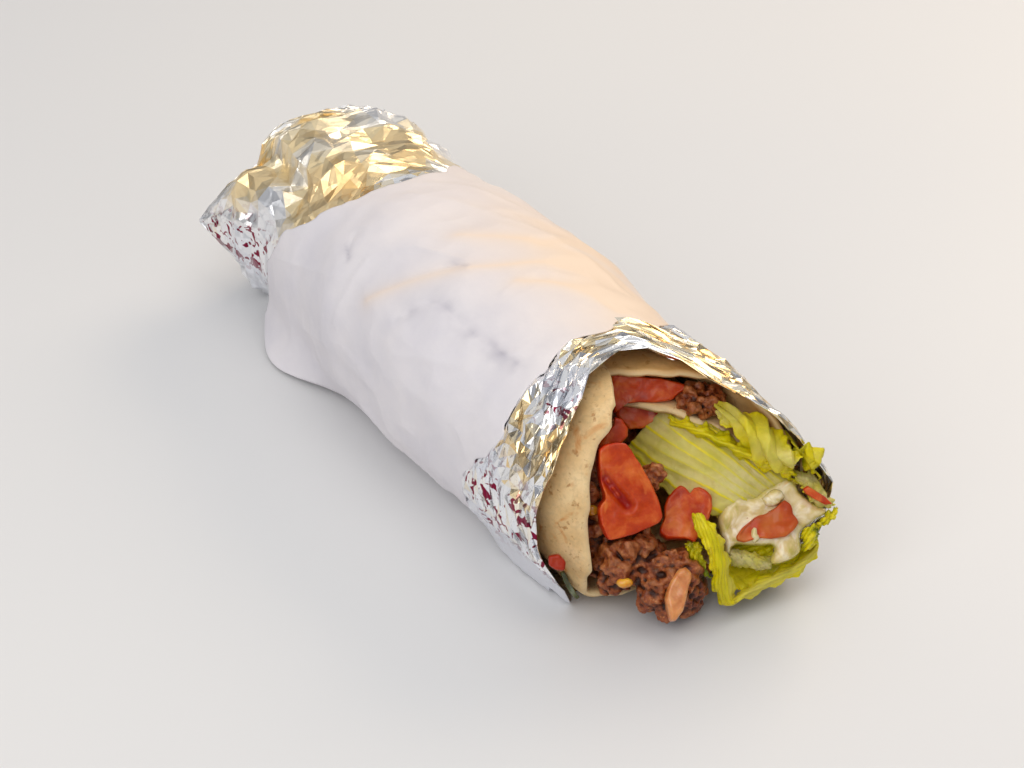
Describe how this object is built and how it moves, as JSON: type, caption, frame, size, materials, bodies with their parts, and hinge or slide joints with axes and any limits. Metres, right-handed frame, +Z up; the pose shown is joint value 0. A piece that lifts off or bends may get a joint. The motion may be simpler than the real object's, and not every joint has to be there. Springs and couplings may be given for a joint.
{
  "type": "fajita wrap",
  "caption": "Flour tortilla rolled round ground beef, tomato and lettuce, lying on its side in crumpled foil with a white paper sleeve, open and spilling at the front.",
  "frame": {"origin": "middle of the wrap's footprint, on the surface it lies on", "axes": "+X along the roll to its open mouth, +Z up, +Y to the right-hand side seen from the mouth"},
  "size_m": [0.237, 0.0832, 0.0653],
  "materials": {
    "paper": "thin white greaseproof paper, softly creased",
    "foil": "crumpled bright aluminium foil",
    "tortilla": "soft flour tortilla with toasted spots",
    "tomato": "wet cut tomato",
    "lettuce": "crisp pale green lettuce, a little translucent",
    "beef": "moist browned crumbs",
    "onion": "soft cooked onion, slightly glossy",
    "dressing": "thick glossy cream"
  },
  "bodies": {
    "root": {"paper_sleeve": "paper", "foil_wrap": "foil", "tortilla": "tortilla", "tomato_wedge": "tomato", "tomato_dice_right": "tomato", "tomato_slab_upper": "tomato", "tomato_dice_left": "tomato", "tomato_dice_middle": "tomato", "tomato_in_dressing": "tomato", "tomato_bit_left": "tomato", "lettuce_leaf_broad": "lettuce", "lettuce_leaf_upper": "lettuce", "lettuce_leaf_right": "lettuce", "lettuce_leaf_lower": "lettuce", "lettuce_leaf_inner": "lettuce", "lettuce_shred": "lettuce", "lettuce_core": "lettuce", "beef_upper": "beef", "beef_crumb": "beef", "ground_beef": "beef", "onion_sliver": "onion", "dressing": "dressing"}
  },
  "joints": []
}
